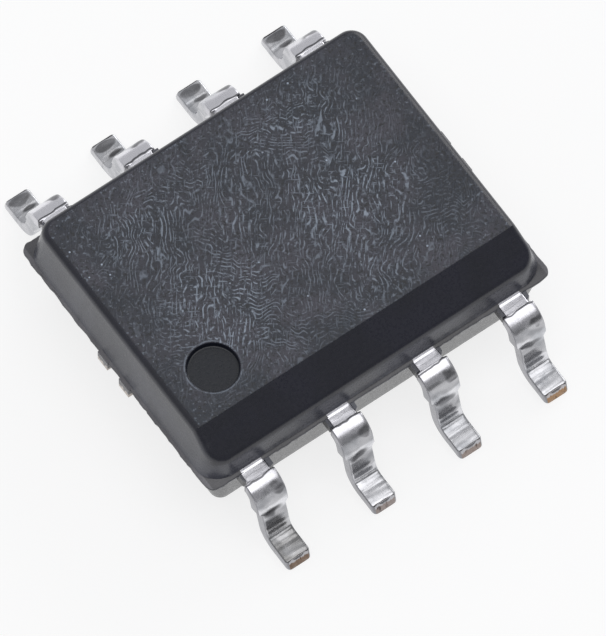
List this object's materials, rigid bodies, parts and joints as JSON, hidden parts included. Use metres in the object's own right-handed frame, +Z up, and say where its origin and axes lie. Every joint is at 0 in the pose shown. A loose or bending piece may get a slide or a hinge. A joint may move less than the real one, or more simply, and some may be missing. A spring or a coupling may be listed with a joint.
{
  "type": "soic chip",
  "caption": "Small-outline integrated circuit: black moulded body with a pin-one dimple and a bevelled long side, gull-wing leads along both long sides.",
  "frame": {"origin": "middle of the package on the board, level with the undersides of the feet", "axes": "+X along the rows of pins from pin 1 to pin 4, +Y across the package from the row of pins 1 to 4 to the row of pins 5 to 8, +Z up from the board"},
  "size_m": [0.005, 0.006, 0.0017],
  "materials": {
    "moulding_compound": "matt black filled epoxy, finely textured on top",
    "tinned_lead": "matt tin plate on copper alloy",
    "copper_strip": "bare rolled copper alloy",
    "silver_epoxy": "matt grey paste, cured",
    "silicon": "polished grey",
    "gold_wire": "bright gold"
  },
  "bodies": {
    "root": {"mould_body": "moulding_compound", "die_paddle": "copper_strip", "die_attach": "silver_epoxy", "die": "silicon", "pin_1": "tinned_lead", "pin_2": "tinned_lead", "pin_3": "tinned_lead", "pin_4": "tinned_lead", "pin_5": "tinned_lead", "pin_6": "tinned_lead", "pin_7": "tinned_lead", "pin_8": "tinned_lead", "bond_wire_1": "gold_wire", "bond_wire_2": "gold_wire", "bond_wire_3": "gold_wire", "bond_wire_4": "gold_wire", "bond_wire_5": "gold_wire", "bond_wire_6": "gold_wire", "bond_wire_7": "gold_wire", "bond_wire_8": "gold_wire"}
  },
  "joints": []
}
